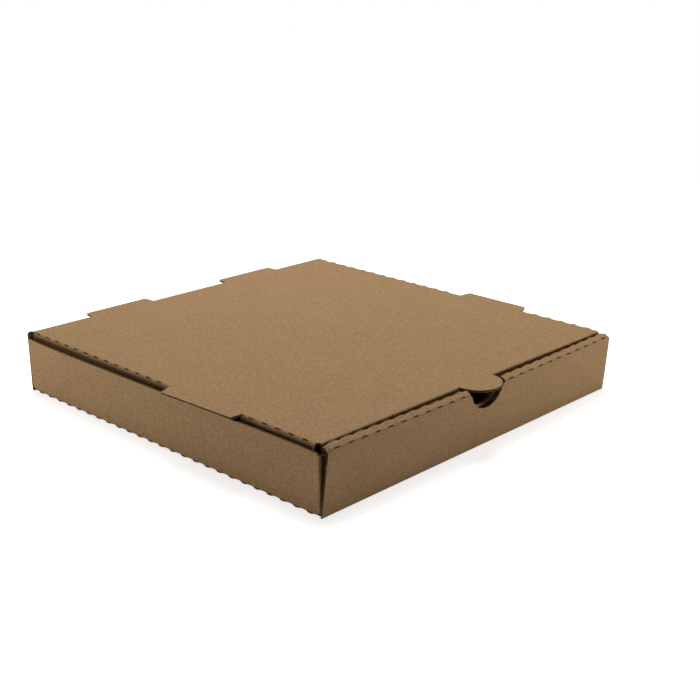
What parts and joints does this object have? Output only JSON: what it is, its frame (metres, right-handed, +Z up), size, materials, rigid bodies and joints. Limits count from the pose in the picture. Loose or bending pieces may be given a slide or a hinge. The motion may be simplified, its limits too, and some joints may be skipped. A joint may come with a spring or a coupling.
{
  "type": "pizza box",
  "caption": "Square folded corrugated pizza box with a roll-over front wall, a thumb notch and a lid hinged along the back.",
  "frame": {"origin": "middle of the base's underside", "axes": "+Z up, -Y towards the thumb tab at the front, +X to the right seen from the front"},
  "size_m": [0.32, 0.3242, 0.0457],
  "materials": {
    "kraft_board": "matte, fine paper fibre"
  },
  "bodies": {
    "tray": {"tray": "kraft_board"},
    "lid": {"lid": "kraft_board"}
  },
  "joints": [
    {"name": "lid_hinge", "type": "hinge", "parent": "tray", "child": "lid", "pos_m": [0, 0.15125, 0.04495], "axis": [-1, 0, 0], "range_deg": [0, 180]}
  ]
}
